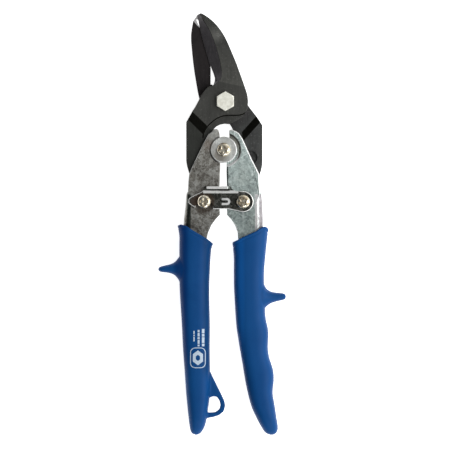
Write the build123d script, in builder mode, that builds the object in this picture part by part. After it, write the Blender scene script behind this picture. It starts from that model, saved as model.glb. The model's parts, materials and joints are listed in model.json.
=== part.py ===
from build123d import *
import os

os.makedirs("parts", exist_ok=True)

# Aviation snips lying flat. +Y runs from the grips to the blade tip, +Z is up,
# the blades meet on the shear plane at height MID. All sizes in millimetres.

# ------------------------------------------------------------ driving dimensions
MID = 9.0            # height of the shear plane above the resting plane
JAW_T = 5.0          # thickness of a jaw
GAP = 0.05           # half of the gap between the two jaws on the shear plane
TAIL_H = 2.5         # half thickness of the jaw tails, on the shear plane
LIP = 0.9            # thickness left at a cutting edge
PLATE_IN = 2.8       # inner face of the handle plates, from the shear plane
PLATE_OUT = 4.8      # outer face of the handle plates
SHEET = PLATE_OUT - PLATE_IN
DISC_IN = 3.6        # underside of the raised hub disc
DISC_OUT = 5.6       # top of the raised hub disc
LUG_IN = 1.4         # inner face of the sunk hub lug
LUG_OUT = 3.4        # outer face of the sunk hub lug

M = (1.96, 72.83)    # jaw pivot
C = (0.98, 44.08)    # handle pivot
L = (-10.55, 13.37)  # left handle to front jaw, also the latch catch
R = (12.45, 13.31)   # right handle to rear jaw, also the latch pivot

RUN = 0.05           # radial running clearance
BUSH_R = 4.0         # bushing at the jaw pivot
BOLT_R = 3.0         # bolt shank at the jaw pivot
HUB_R = 3.5          # sleeve at the handle pivot
HUB_SCREW_R = 2.5    # screw in that sleeve
SLEEVE_R = 3.0       # sleeves at the two tail pivots
NECK_R = 2.1         # screws in those sleeves
OPEN_R = 3.22        # hole of the rear jaw tail, loose on its sleeve
DISC_R = 7.8         # raised hub disc of the left handle
RECESS_R = 9.6       # stamped recess of the right handle
LUG_R = 7.6          # sunk hub lug of the right handle
BULGE_R = 10.7       # back of the stamped recess
PAN_R = 4.1          # pan heads
LATCH_LOW = 5.75     # underside of the latch
LATCH_TOP = 7.25     # front face of the latch
TAB_TOP = 10.6       # end of the thumb tab
GRIP_H = 9.0         # half thickness of the grips
HORN_H = 5.0         # half thickness of the guard horns
EYE_H = 3.2          # half thickness of the hanging eye
WIRE_R = 0.5         # spring wire
COIL_R = 4.9         # middle radius of the spring coil
COIL_H = 0.46        # the two turns, above and below the shear plane
LEG_R = 0.45         # spring legs

# ------------------------------------------------------------ plan outlines
# front jaw: blade at the upper right, tail at the lower left
FJ_EDGE = [
    (-5.10, 82.49), (-4.39, 85.10), (-4.27, 86.58), (-5.10, 89.31), (-6.17, 92.04),
    (-7.47, 95.48), (-8.83, 100.22), (-10.55, 105.67), (-11.92, 111.13), (-13.28, 116.52),
    (-13.93, 119.96), (-14.47, 123.04),
]
FJ_TIP = [
    (-14.47, 123.04), (-14.11, 124.35), (-12.86, 125.00), (-11.20, 124.53),
]
FJ_SPINE = [
    (-11.20, 124.53), (-7.83, 122.33), (-4.45, 119.37), (-1.72, 116.23), (0.47, 113.08),
    (2.49, 109.41), (4.45, 105.08), (6.52, 100.22), (8.60, 95.12), (10.67, 89.31),
    (12.39, 84.57), (13.99, 79.94), (15.12, 75.85), (15.41, 72.30), (14.88, 68.68),
    (13.16, 65.18),
]
FJ_UNDER = [
    (13.16, 65.18), (9.19, 64.17), (4.98, 64.17), (1.01, 63.82), (-2.37, 62.63),
    (-5.81, 60.20), (-8.54, 57.48), (-10.37, 54.27), (-11.26, 50.78), (-11.44, 45.14),
    (-10.97, 38.03), (-8.95, 27.95), (-6.46, 20.25), (-5.57, 15.03),
]
FJ_OUTER = [
    (-15.44, 14.61), (-16.42, 20.25), (-17.96, 25.58), (-19.56, 30.26), (-20.63, 33.88),
    (-21.28, 37.44),
]
FJ_SIDE = [
    (-21.28, 37.44), (-21.28, 60.56), (-17.37, 67.44),
]
FJ_SHOULDER = [
    (-17.37, 67.44), (-13.58, 74.02), (-10.55, 78.94), (-7.88, 81.49), (-5.10, 82.49),
]
# lower ledge of the front jaw over the hub, thinner than the blade
FJ_LEDGE = [
    (12.39, 66.19), (12.63, 64.00), (8.60, 61.57), (4.27, 59.31), (1.42, 59.55),
    (-1.24, 59.02), (-3.44, 57.89), (-4.92, 56.41), (-6.22, 53.92), (-8.24, 50.72),
    (-9.66, 47.22), (-12.81, 47.22), (-12.21, 57.00), (-7.17, 64.12), (1.72, 67.67),
]
LEDGE_TOP = 2.3
# rear jaw: blade at the upper left, tail at the lower right
RJ_EDGE = [
    (-6.82, 82.79), (-6.82, 87.83), (-6.76, 91.39), (-6.88, 94.35), (-7.41, 96.72),
    (-8.36, 100.87), (-9.78, 105.61), (-11.32, 110.95), (-12.75, 114.80),
]
RJ_NOSE = [
    (-12.75, 114.80), (-12.69, 118.66), (-13.16, 122.51), (-13.99, 124.64),
    (-15.53, 123.04), (-17.25, 120.55),
]
RJ_SPINE = [
    (-17.25, 120.55), (-17.90, 116.52), (-18.38, 113.02), (-18.44, 109.47),
    (-18.14, 105.32), (-17.37, 97.49), (-16.30, 89.31), (-14.94, 81.19), (-13.64, 75.02),
    (-12.03, 70.64), (-9.78, 66.61), (-6.94, 63.29), (-3.32, 60.97), (0.83, 60.02),
    (4.92, 60.02),
]
RJ_INNER = [
    (4.92, 60.02), (8.00, 58.96), (10.49, 56.59), (12.03, 53.44), (12.63, 49.29),
    (12.63, 43.96), (11.92, 36.84), (10.26, 27.95), (8.48, 20.25), (7.53, 14.91),
]
RJ_OUTER = [
    (17.37, 14.91), (18.32, 19.65), (20.57, 24.99), (22.59, 30.03), (23.59, 33.88),
    (23.89, 37.44),
]
RJ_SIDE = [
    (23.89, 37.44), (23.89, 58.54),
]
RJ_SHOULDER = [
    (23.89, 58.54), (22.47, 60.91), (20.10, 64.35), (17.13, 68.15), (14.52, 71.82),
]
RJ_TOP = [
    (14.52, 71.82), (12.39, 77.45), (8.54, 81.60), (3.20, 83.56), (-2.13, 83.74),
    (-6.82, 82.79),
]
RJ_LEDGE = [
    (8.83, 61.45), (4.27, 59.73), (5.39, 58.01), (6.58, 55.58), (8.42, 53.33),
    (10.37, 49.89), (11.68, 46.33), (13.87, 46.33), (14.17, 54.63), (11.20, 59.97),
]
TAIL_HOLE = (16.84, 39.51)
TAIL_HOLE_R = 4.1
TAIL_HOLE_D = 2.2

# bevel of each blade: cutting edge and ridge, point for point
FB_EDGE = [
    (-5.28, 81.90), (-4.62, 84.86), (-4.45, 87.53), (-5.57, 90.67), (-7.17, 94.77),
    (-8.60, 99.51), (-10.14, 104.31), (-11.38, 109.05), (-12.63, 113.85), (-13.34, 116.88),
    (-14.23, 121.62), (-14.64, 125.47),
]
FB_RIDGE = [
    (-5.16, 81.90), (-1.72, 84.86), (-0.41, 87.53), (-0.41, 90.67), (-1.01, 94.77),
    (-2.07, 99.51), (-3.44, 104.31), (-5.10, 109.05), (-7.05, 113.85), (-8.77, 116.88),
    (-11.68, 121.62), (-13.52, 125.47),
]
RB_EDGE = [
    (-6.88, 81.60), (-6.82, 83.98), (-6.82, 87.83), (-6.88, 94.35), (-8.36, 100.87),
    (-9.78, 105.61), (-11.32, 110.95), (-12.75, 114.80), (-14.88, 118.66),
    (-16.48, 121.62),
]
RB_RIDGE = [
    (-7.05, 81.60), (-9.90, 83.98), (-11.92, 87.83), (-12.51, 94.35), (-13.46, 100.87),
    (-14.17, 105.61), (-14.88, 110.95), (-15.53, 114.80), (-16.30, 118.66),
    (-17.01, 121.62),
]
CREASE = (1.36, 85.22)   # end of the line across the front jaw from which the blade thins
TAPER = 0.045                # thinning of the blades towards the tip, mm per mm

# step where each jaw drops from its own side of the shear plane into the plane of the handles
FJ_STEP = (-13.28, 62.46)    # a point where the step starts
FJ_STEP_U = (-0.691, -0.723) # direction of the step, towards the tail
RJ_STEP = (15.5, 58.84)
RJ_STEP_U = (0.743, -0.669)
FJ_STEP_L = 5.2               # length of each step
RJ_STEP_L = 4.2

# handle plates, from the ear beside the hub down to the end of the tang in the grip
LH_OUT = [
    (-2.19, 55.88), (-3.38, 56.47), (-5.16, 56.11), (-5.99, 54.87), (-8.18, 53.33),
    (-10.97, 48.23), (-14.47, 40.88), (-17.79, 33.94), (-19.50, 29.79), (-20.04, 25.46),
    (-20.22, 19.42),
]
LH_BACK = [
    (-21.16, 17.93), (-21.64, 10.76), (-22.41, 4.83), (-22.82, 0.09), (-22.71, -9.40),
    (-22.23, -22.44), (-21.76, -39.04), (-21.16, -56.82), (-20.22, -74.61),
    (-19.03, -91.21), (-17.96, -97.73),
]
LH_IN = [
    (-10.49, -97.14), (-9.72, -80.54), (-9.72, -62.75), (-9.96, -44.97), (-9.66, -28.37),
    (-9.31, -15.32), (-9.19, -9.16), (-8.36, -5.19), (-6.40, -0.68), (-3.85, 2.93),
    (-1.30, 5.66),
]
LH_SLIT = [
    (-1.48, 11.35), (-1.54, 22.62), (-1.24, 30.92), (-1.13, 36.25), (-1.42, 45.14),
    (-1.48, 53.09), (-2.19, 55.88),
]
RH_OUT = [
    (4.27, 55.64), (5.81, 56.11), (8.60, 54.87), (10.14, 53.74), (12.27, 50.42),
    (14.58, 45.26), (17.37, 39.04), (20.22, 33.41), (21.94, 29.73), (22.17, 25.58),
    (22.29, 19.42),
]
RH_BACK = [
    (23.36, 17.87), (23.89, 13.13), (24.19, 6.02), (24.25, -1.10), (23.89, -12.36),
    (23.18, -22.44), (22.71, -36.07), (23.18, -49.71), (24.60, -63.94), (25.61, -76.98),
    (27.09, -88.84), (27.21, -97.14),
]
RH_IN = [
    (21.05, -99.51), (18.32, -91.21), (15.47, -79.35), (12.86, -68.68), (11.09, -58.01),
    (10.14, -46.15), (9.54, -34.30), (9.31, -22.44), (9.78, -12.95), (9.31, -5.19),
    (7.83, -1.10), (5.45, 2.82), (2.96, 5.54),
]
RH_SLIT = [
    (2.85, 11.35), (2.90, 22.62), (2.61, 30.92), (2.67, 36.25), (3.73, 42.77),
    (4.27, 49.89), (4.27, 55.64),
]

# latch
LATCH_LEFT = [
    (12.45, 19.53), (8.24, 19.53), (5.63, 20.90), (5.04, 22.32), (-10.37, 22.32),
    (-11.09, 20.48), (-11.56, 19.42), (-15.59, 17.52), (-18.79, 15.86), (-19.80, 14.79),
    (-19.86, 12.78), (-19.27, 11.95),
]
CLAW = [(-5.35, -3.70), (-4.90, -2.80), (-3.95, -1.30), (-2.80, 0.15),
        (-2.75, 1.20), (-2.10, 2.25), (-0.90, 2.85), (0.70, 2.90), (2.20, 2.40),
        (3.60, 1.20), (4.60, -0.60), (5.00, -2.60), (5.10, -4.35)]   # from L
LATCH_RIGHT = [
    (-5.04, 8.92), (-0.65, 8.92), (4.33, 8.86), (7.88, 8.09), (12.45, 7.08),
]
LATCH_LOBE_R = 6.15
WINDOW = (2.31, 13.37)
WINDOW_W, WINDOW_H, WINDOW_D = 7.7, 6.4, 0.75
RIB_W, RIB_H, RIB_T = 5.1, 4.2, 1.3

# grips: station along Y, left and right side, full thickness
LG = [
    (1.27, -25.79, -5.10, 16.0), (-4.06, -25.43, -5.28, 17.6),
    (-15.32, -25.43, -6.40, 18.0), (-24.81, -25.37, -7.05, 18.0),
    (-36.07, -25.25, -7.53, 18.0), (-46.75, -24.72, -7.53, 18.0),
    (-58.01, -24.07, -7.29, 18.0), (-68.68, -23.54, -7.23, 18.0),
    (-80.54, -22.76, -7.23, 18.0), (-91.21, -21.99, -7.11, 18.0),
    (-101.29, -21.22, -7.41, 18.0), (-108.99, -20.51, -8.24, 17.8),
    (-114.92, -19.86, -9.01, 17.0), (-119.07, -19.39, -10.02, 15.6),
    (-122.04, -18.79, -11.20, 13.0), (-123.99, -17.73, -12.57, 9.6),
    (-125.00, -16.18, -13.93, 6.4),
]
RG = [
    (1.27, 5.63, 27.80, 16.0), (-4.06, 5.75, 27.33, 17.4), (-12.36, 6.11, 26.50, 18.0),
    (-18.88, 6.82, 25.79, 18.0), (-27.18, 6.94, 25.02, 18.0), (-35.48, 7.05, 25.08, 18.0),
    (-44.97, 7.41, 25.67, 18.0), (-52.67, 7.88, 25.61, 18.0), (-59.49, 8.42, 26.68, 18.0),
    (-64.53, 8.95, 27.45, 18.0), (-71.35, 10.08, 27.27, 18.0),
    (-76.09, 10.91, 27.45, 18.0), (-80.83, 11.74, 28.57, 18.0),
    (-85.58, 12.51, 30.00, 18.0), (-90.62, 13.34, 30.71, 18.0),
    (-97.14, 14.58, 30.18, 18.0), (-102.18, 15.71, 30.23, 18.0),
    (-107.21, 17.13, 31.12, 18.0), (-111.96, 19.03, 31.89, 17.6),
    (-116.11, 20.99, 32.55, 16.8), (-119.66, 22.94, 33.08, 15.0),
    (-122.33, 24.60, 33.02, 12.4), (-124.17, 26.20, 32.13, 9.0),
    (-125.00, 27.98, 30.71, 6.4),
]
LG_RIM = [
    (-30.89, 5.42), (-30.89, -0.74), (-25.97, -0.74), (-24.60, -0.03), (-20.99, -1.16),
    (-19.15, -2.52), (-9.19, -8.45), (-5.75, -11.18), (-3.62, -12.36), (-0.06, -12.36),
    (-0.06, 5.42),
]
RG_RIM = [
    (1.72, 5.42), (1.72, -12.95), (5.28, -12.66), (6.34, -10.64), (9.66, -9.16),
    (12.98, -7.32), (20.51, -4.00), (21.94, -2.76), (25.08, -1.27), (26.74, -1.93),
    (27.80, -3.35), (34.33, -3.35), (34.33, 5.42),
]
LG_HORN = [
    (-19.03, -18.29), (-24.96, -18.29), (-25.97, -19.95), (-28.69, -22.97),
    (-33.67, -24.28), (-36.87, -25.17), (-38.00, -26.59), (-36.87, -28.13),
    (-30.95, -29.08), (-27.74, -30.68), (-25.73, -33.35), (-24.96, -37.26),
    (-19.03, -37.26),
]
RG_HORN = [
    (19.50, -34.30), (24.60, -34.30), (25.91, -37.91), (28.40, -39.87), (31.72, -40.52),
    (36.70, -41.05), (37.94, -42.89), (37.11, -44.67), (32.96, -45.80), (29.64, -46.63),
    (26.74, -48.29), (25.61, -51.49), (19.50, -51.49),
]
LG_EYE = [
    (-11.32, -86.47), (-7.53, -86.47), (-5.69, -90.44), (-3.38, -95.12), (-0.41, -101.17),
    (1.36, -105.02), (1.84, -107.81), (0.95, -111.07), (-1.84, -113.38), (-5.34, -114.45),
    (-8.95, -115.04), (-11.32, -114.33),
]
LG_HOLE = [
    (-6.94, -102.71), (-5.28, -102.12), (-3.14, -102.35), (-1.60, -104.61),
    (-0.95, -107.45), (-1.72, -109.94), (-3.97, -111.60), (-7.71, -111.90),
    (-7.53, -106.62),
]

# ------------------------------------------------------------ jaws
with BuildPart() as front_jaw:
    with BuildSketch(Plane.XY.offset(MID - 3)):
        with BuildLine():
            Polyline(*FJ_EDGE)
            Spline(*FJ_TIP)
            Spline(*FJ_SPINE)
            Spline(*FJ_UNDER)
            Line(FJ_UNDER[-1], FJ_OUTER[0])
            Spline(*FJ_OUTER)
            Polyline(*FJ_SIDE)
            Spline(*FJ_SHOULDER)
        make_face()
        with Locations(L):
            Circle(5.0)
    extrude(amount=9)
    # stepped slab: above the shear plane at the blade, centred on it at the tail
    with BuildSketch(Plane(origin=(*FJ_STEP, MID), x_dir=(*FJ_STEP_U, 0), z_dir=(FJ_STEP_U[1], -FJ_STEP_U[0], 0))):
        with BuildLine():
            Polyline((-120, GAP), (0, GAP), (FJ_STEP_L, -TAIL_H), (120, -TAIL_H),
                     (120, TAIL_H), (FJ_STEP_L, TAIL_H), (0, JAW_T), (-120, JAW_T), close=True)
        make_face()
    extrude(amount=90, both=True, mode=Mode.INTERSECT)
    with BuildSketch(Plane.XY.offset(MID + GAP)):
        with BuildLine():
            Polyline(*FJ_LEDGE, close=True)
        make_face()
    extrude(amount=LEDGE_TOP - GAP)
    # the blade thins towards its tip
    with BuildSketch(Plane(origin=(*CREASE, MID), x_dir=(0.314, 0.949, 0), z_dir=(0.949, -0.314, 0))):
        with BuildLine():
            Polyline((0, JAW_T), (60, JAW_T - 60 * TAPER), (60, JAW_T + 3), (0, JAW_T + 3), close=True)
        make_face()
    extrude(amount=60, both=True, mode=Mode.SUBTRACT)
    # bevel down to the cutting edge
    for (ex, ey), (rx, ry) in zip(FB_EDGE, FB_RIDGE):
        top = JAW_T - TAPER * max(0.0, (rx - CREASE[0]) * 0.314 + (ry - CREASE[1]) * 0.949)
        m = (top - LIP) / max(rx - ex, 0.12)
        with BuildSketch(Plane(origin=(0, ey, MID), x_dir=(1, 0, 0), z_dir=(0, -1, 0))):
            with BuildLine():
                Polyline((ex - 2, LIP - min(2 * m, 3)), (rx + 0.15, top + 0.15 * m if m < 9 else top + 1.2),
                         (rx + 0.15, JAW_T + 4), (ex - 2, JAW_T + 4), close=True)
            make_face()
    loft(ruled=True, mode=Mode.SUBTRACT)
    with BuildSketch(Plane.XY.offset(MID - 6)):
        with Locations(M):
            Circle(BUSH_R)
        with Locations(L):
            Circle(SLEEVE_R + RUN)
    extrude(amount=14, mode=Mode.SUBTRACT)
front_jaw.part.label = "front_jaw"
export_step(front_jaw.part, "parts/front_jaw.step")

with BuildPart() as rear_jaw:
    with BuildSketch(Plane.XY.offset(MID - 6)):
        with BuildLine():
            Polyline(*RJ_EDGE)
            Spline(*RJ_NOSE)
            Spline(*RJ_SPINE)
            Spline(*RJ_INNER)
            Line(RJ_INNER[-1], RJ_OUTER[0])
            Spline(*RJ_OUTER)
            Polyline(*RJ_SIDE)
            Spline(*RJ_SHOULDER)
            Spline(*RJ_TOP)
        make_face()
        with Locations(R):
            Circle(5.0)
    extrude(amount=9)
    # stepped slab: below the shear plane at the blade, centred on it at the tail
    with BuildSketch(Plane(origin=(*RJ_STEP, MID), x_dir=(*RJ_STEP_U, 0), z_dir=(RJ_STEP_U[1], -RJ_STEP_U[0], 0))):
        with BuildLine():
            Polyline((-120, -JAW_T), (0, -JAW_T), (RJ_STEP_L, -TAIL_H), (120, -TAIL_H),
                     (120, TAIL_H), (RJ_STEP_L, TAIL_H), (0, -GAP), (-120, -GAP), close=True)
        make_face()
    extrude(amount=90, both=True, mode=Mode.INTERSECT)
    with BuildSketch(Plane.XY.offset(MID - LEDGE_TOP)):
        with BuildLine():
            Polyline(*RJ_LEDGE, close=True)
        make_face()
    extrude(amount=LEDGE_TOP - GAP)
    # the blade thins towards its tip
    with BuildSketch(Plane(origin=(0, 84, MID), x_dir=(0, 1, 0), z_dir=(1, 0, 0))):
        with BuildLine():
            Polyline((0, -JAW_T), (60, -JAW_T + 60 * TAPER), (60, -JAW_T - 3), (0, -JAW_T - 3), close=True)
        make_face()
    extrude(amount=60, both=True, mode=Mode.SUBTRACT)
    for (ex, ey), (rx, ry) in zip(RB_EDGE, RB_RIDGE):
        top = JAW_T - TAPER * max(0.0, ry - 84)
        m = (top - LIP) / max(ex - rx, 0.25)
        with BuildSketch(Plane(origin=(0, ey, MID), x_dir=(1, 0, 0), z_dir=(0, -1, 0))):
            with BuildLine():
                Polyline((ex + 2, -LIP + min(2 * m, 3)), (rx - 0.15, -top - 0.15 * m if m < 9 else -top - 1.2),
                         (rx - 0.15, -JAW_T - 4), (ex + 2, -JAW_T - 4), close=True)
            make_face()
    loft(ruled=True, mode=Mode.SUBTRACT)
    with BuildSketch(Plane.XY.offset(MID - 8)):
        with Locations(M):
            Circle(BUSH_R + RUN)
        with Locations(R):
            Circle(OPEN_R)
    extrude(amount=14, mode=Mode.SUBTRACT)
    # round dimple in the front of the tail
    with BuildSketch(Plane.XY.offset(MID + TAIL_H)):
        with Locations(TAIL_HOLE):
            Circle(TAIL_HOLE_R)
    extrude(amount=-TAIL_HOLE_D, mode=Mode.SUBTRACT)
rear_jaw.part.label = "rear_jaw"
export_step(rear_jaw.part, "parts/rear_jaw.step")

# ------------------------------------------------------------ jaw pivot
with BuildPart() as jaw_bolt:
    with BuildSketch(Plane.XY.offset(MID + JAW_T)):
        with Locations(M):
            RegularPolygon(radius=5.0, side_count=6, major_radius=False, rotation=30)
    extrude(amount=4.0)
    # turned chamfer on the corners of the head
    with BuildSketch(Plane(origin=(*M, MID + JAW_T), x_dir=(1, 0, 0), z_dir=(0, -1, 0))):
        with BuildLine():
            Polyline((0, -0.5), (7, -0.5), (7, 3.1), (4.75, 4.0), (0, 4.0), close=True)
        make_face()
    revolve(axis=Axis((*M, 0), (0, 0, 1)), mode=Mode.INTERSECT)
    with BuildSketch(Plane.XY.offset(MID - 8.7)):
        with Locations(M):
            Circle(BOLT_R)
    extrude(amount=8.7 + JAW_T + 0.5)
jaw_bolt.part.label = "jaw_bolt"
export_step(jaw_bolt.part, "parts/jaw_bolt.step")

with BuildPart() as jaw_bushing:
    with BuildSketch(Plane.XY.offset(MID - JAW_T - 0.1)):
        with Locations(M):
            Circle(BUSH_R)
            Circle(BOLT_R, mode=Mode.SUBTRACT)
    extrude(amount=2 * JAW_T + 0.1)
jaw_bushing.part.label = "jaw_bushing"
export_step(jaw_bushing.part, "parts/jaw_bushing.step")

with BuildPart() as jaw_washer:
    with BuildSketch(Plane.XY.offset(MID - 5.8)):
        with Locations(M):
            Circle(7.0)
            Circle(BOLT_R, mode=Mode.SUBTRACT)
    extrude(amount=0.7)
    chamfer(jaw_washer.edges().filter_by(GeomType.CIRCLE).group_by(SortBy.RADIUS)[-1], 0.15)
jaw_washer.part.label = "jaw_washer"
export_step(jaw_washer.part, "parts/jaw_washer.step")

with BuildPart() as jaw_nut:
    with BuildSketch(Plane.XY.offset(MID - 9.0)):
        with Locations(M):
            RegularPolygon(radius=5.0, side_count=6, major_radius=False, rotation=30)
            Circle(BOLT_R, mode=Mode.SUBTRACT)
    extrude(amount=3.2)
    with BuildSketch(Plane(origin=(*M, MID - 9.0), x_dir=(1, 0, 0), z_dir=(0, -1, 0))):
        with BuildLine():
            Polyline((0, 0), (4.85, 0), (7, 0.9), (7, 3.5), (0, 3.5), close=True)
        make_face()
    revolve(axis=Axis((*M, 0), (0, 0, 1)), mode=Mode.INTERSECT)
jaw_nut.part.label = "jaw_nut"
export_step(jaw_nut.part, "parts/jaw_nut.step")

# ------------------------------------------------------------ handle frames
with BuildPart() as left_handle_frame:
    with BuildSketch(Plane.XY.offset(MID - PLATE_OUT)):
        with BuildLine():
            Polyline(*LH_OUT, *LH_BACK, *LH_IN, *LH_SLIT[:-1], close=True)
        make_face()
    extrude(amount=2 * PLATE_OUT)
    # raised hub discs, one on each plate
    with BuildSketch(Plane.XY.offset(MID - DISC_OUT)):
        with Locations(C):
            Circle(DISC_R)
    extrude(amount=2 * DISC_OUT)
    # open space between the plates, closed on the outside by the web
    with BuildSketch(Plane.XY.offset(MID - PLATE_IN)):
        with BuildLine():
            Polyline((-40, LH_BACK[0][1] + 0.6), (LH_BACK[0][0] + SHEET, LH_BACK[0][1] + 0.6),
                     *[(x + SHEET, y) for x, y in LH_BACK[1:]],
                     (LH_BACK[-1][0] + SHEET, -115), (40, -115), (40, 70), (-40, 70), close=True)
        make_face()
    extrude(amount=2 * PLATE_IN, mode=Mode.SUBTRACT)
    # room under the discs for the lugs of the right handle
    with BuildSketch(Plane.XY.offset(MID - DISC_IN)):
        with Locations(C):
            Circle(LUG_R + 0.35)
    extrude(amount=2 * DISC_IN, mode=Mode.SUBTRACT)
    with BuildSketch(Plane.XY.offset(MID - 7)):
        with Locations(C):
            Circle(HUB_R)
        with Locations(L):
            Circle(SLEEVE_R)
    extrude(amount=14, mode=Mode.SUBTRACT)
    # hole in the back plate for the end of the spring
    with BuildSketch(Plane.XY.offset(MID - 7)):
        with Locations((C[0] - COIL_R, 25.0)):
            Circle(WIRE_R + 0.12)
    extrude(amount=5, mode=Mode.SUBTRACT)
left_handle_frame.part.label = "left_handle_frame"
export_step(left_handle_frame.part, "parts/left_handle_frame.step")

with BuildPart() as right_handle_frame:
    with BuildSketch(Plane.XY.offset(MID - PLATE_OUT)):
        with BuildLine():
            Polyline(*RH_OUT, *RH_BACK, *RH_IN, *RH_SLIT[:-1], close=True)
        make_face()
    extrude(amount=2 * PLATE_OUT)
    with BuildSketch(Plane.XY.offset(MID - PLATE_IN)):
        with BuildLine():
            Polyline((40, RH_BACK[0][1] + 0.6), (RH_BACK[0][0] - SHEET, RH_BACK[0][1] + 0.6),
                     *[(x - SHEET, y) for x, y in RH_BACK[1:]],
                     (RH_BACK[-1][0] - SHEET, -115), (-40, -115), (-40, 70), (40, 70), close=True)
        make_face()
    extrude(amount=2 * PLATE_IN, mode=Mode.SUBTRACT)
    for side in (1, -1):
        # stamped recess, its bulged back and the lug that turns under the disc
        with BuildSketch(Plane.XY.offset(MID + side * LUG_OUT)):
            with Locations(C):
                Circle(RECESS_R)
        extrude(amount=side * 5, mode=Mode.SUBTRACT)
        with BuildSketch(Plane.XY.offset(MID + side * LUG_IN)):
            with Locations(C):
                Circle(BULGE_R)
            with BuildLine():
                Polyline(*RH_OUT, (30, 0), RH_SLIT[0], *RH_SLIT[1:-1], close=True)
            make_face(mode=Mode.INTERSECT)
            with Locations(C):
                Circle(LUG_R)
        extrude(amount=side * (LUG_OUT - LUG_IN))
    with BuildSketch(Plane.XY.offset(MID - 7)):
        with Locations(C):
            Circle(HUB_R + RUN)
        with Locations(R):
            Circle(SLEEVE_R)
    extrude(amount=14, mode=Mode.SUBTRACT)
    with BuildSketch(Plane.XY.offset(MID - 7)):
        with Locations((C[0] + COIL_R, 25.0)):
            Circle(WIRE_R + 0.12)
    extrude(amount=5, mode=Mode.SUBTRACT)
right_handle_frame.part.label = "right_handle_frame"
export_step(right_handle_frame.part, "parts/right_handle_frame.step")

# ------------------------------------------------------------ grips
with BuildPart() as left_grip:
    for y, x0, x1, t in LG:
        with BuildSketch(Plane(origin=((x0 + x1) / 2, y, MID), x_dir=(1, 0, 0), z_dir=(0, -1, 0))):
            RectangleRounded(x1 - x0, t, min(6.6, 0.47 * (x1 - x0), 0.47 * t))
    loft(ruled=True)
    # guard horn and hanging eye
    with BuildSketch(Plane.XY.offset(MID - HORN_H)):
        with BuildLine():
            Polyline(*LG_HORN, close=True)
        make_face()
    extrude(amount=2 * HORN_H)
    with BuildSketch(Plane.XY.offset(MID - EYE_H)):
        with BuildLine():
            Polyline(*LG_EYE, close=True)
        make_face()
    extrude(amount=2 * EYE_H)
    with BuildSketch(Plane.XY.offset(MID - 12)):
        with BuildLine():
            Polyline(*LG_HOLE, close=True)
        make_face()
    extrude(amount=24, mode=Mode.SUBTRACT)
    # slanted rim at the top, and the pocket filled by the tang
    with BuildSketch(Plane.XY.offset(MID - 12)):
        with BuildLine():
            Polyline(*LG_RIM, close=True)
        make_face()
    extrude(amount=24, mode=Mode.SUBTRACT)
    with BuildSketch(Plane.XY.offset(MID - PLATE_OUT)):
        with BuildLine():
            Polyline(*LH_BACK, *LH_IN, close=True)
        make_face()
    extrude(amount=2 * PLATE_OUT, mode=Mode.SUBTRACT)
left_grip.part.label = "left_grip"
export_step(left_grip.part, "parts/left_grip.step")

with BuildPart() as right_grip:
    for y, x0, x1, t in RG:
        with BuildSketch(Plane(origin=((x0 + x1) / 2, y, MID), x_dir=(1, 0, 0), z_dir=(0, -1, 0))):
            RectangleRounded(x1 - x0, t, min(6.6, 0.47 * (x1 - x0), 0.47 * t))
    loft(ruled=True)
    with BuildSketch(Plane.XY.offset(MID - HORN_H)):
        with BuildLine():
            Polyline(*RG_HORN, close=True)
        make_face()
    extrude(amount=2 * HORN_H)
    with BuildSketch(Plane.XY.offset(MID - 12)):
        with BuildLine():
            Polyline(*RG_RIM, close=True)
        make_face()
    extrude(amount=24, mode=Mode.SUBTRACT)
    with BuildSketch(Plane.XY.offset(MID - PLATE_OUT)):
        with BuildLine():
            Polyline(*RH_BACK, *RH_IN, close=True)
        make_face()
    extrude(amount=2 * PLATE_OUT, mode=Mode.SUBTRACT)
right_grip.part.label = "right_grip"
export_step(right_grip.part, "parts/right_grip.step")

# ------------------------------------------------------------ handle pivot
with BuildPart() as handle_pivot_sleeve:
    with BuildSketch(Plane.XY.offset(MID - DISC_OUT)):
        with Locations(C):
            Circle(HUB_R)
            Circle(HUB_SCREW_R, mode=Mode.SUBTRACT)
    extrude(amount=2 * DISC_OUT)
handle_pivot_sleeve.part.label = "handle_pivot_sleeve"
export_step(handle_pivot_sleeve.part, "parts/handle_pivot_sleeve.step")

with BuildPart() as handle_pivot_screw:
    # pan head with a cross recess, and its shank
    with BuildSketch(Plane(origin=(*C, MID), x_dir=(1, 0, 0), z_dir=(0, -1, 0))):
        with BuildLine():
            Polyline((0, -8.0), (HUB_SCREW_R, -8.0), (HUB_SCREW_R, DISC_OUT), (PAN_R, DISC_OUT), (PAN_R, 6.7))
            ThreePointArc((PAN_R, 6.7), (PAN_R - 0.75, 7.75), (1.6, 8.2))
            Polyline((1.6, 8.2), (0, 8.2), (0, -8.0))
        make_face()
    revolve(axis=Axis((*C, 0), (0, 0, 1)))
    with BuildSketch(Plane.XY.offset(MID + 6.3)):
        with Locations(C):
            Rectangle(4.6, 1.1, rotation=20)
            Rectangle(4.6, 1.1, rotation=110)
    extrude(amount=3, taper=-8, mode=Mode.SUBTRACT)
handle_pivot_screw.part.label = "handle_pivot_screw"
export_step(handle_pivot_screw.part, "parts/handle_pivot_screw.step")

with BuildPart() as handle_pivot_nut:
    with BuildSketch(Plane.XY.offset(MID - 8.2)):
        with Locations(C):
            RegularPolygon(radius=4.0, side_count=6, major_radius=False)
            Circle(HUB_SCREW_R, mode=Mode.SUBTRACT)
    extrude(amount=8.2 - DISC_OUT)
    with BuildSketch(Plane(origin=(*C, MID - 8.2), x_dir=(1, 0, 0), z_dir=(0, -1, 0))):
        with BuildLine():
            Polyline((0, 0), (3.85, 0), (6, 0.9), (6, 3), (0, 3), close=True)
        make_face()
    revolve(axis=Axis((*C, 0), (0, 0, 1)), mode=Mode.INTERSECT)
handle_pivot_nut.part.label = "handle_pivot_nut"
export_step(handle_pivot_nut.part, "parts/handle_pivot_nut.step")

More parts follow.
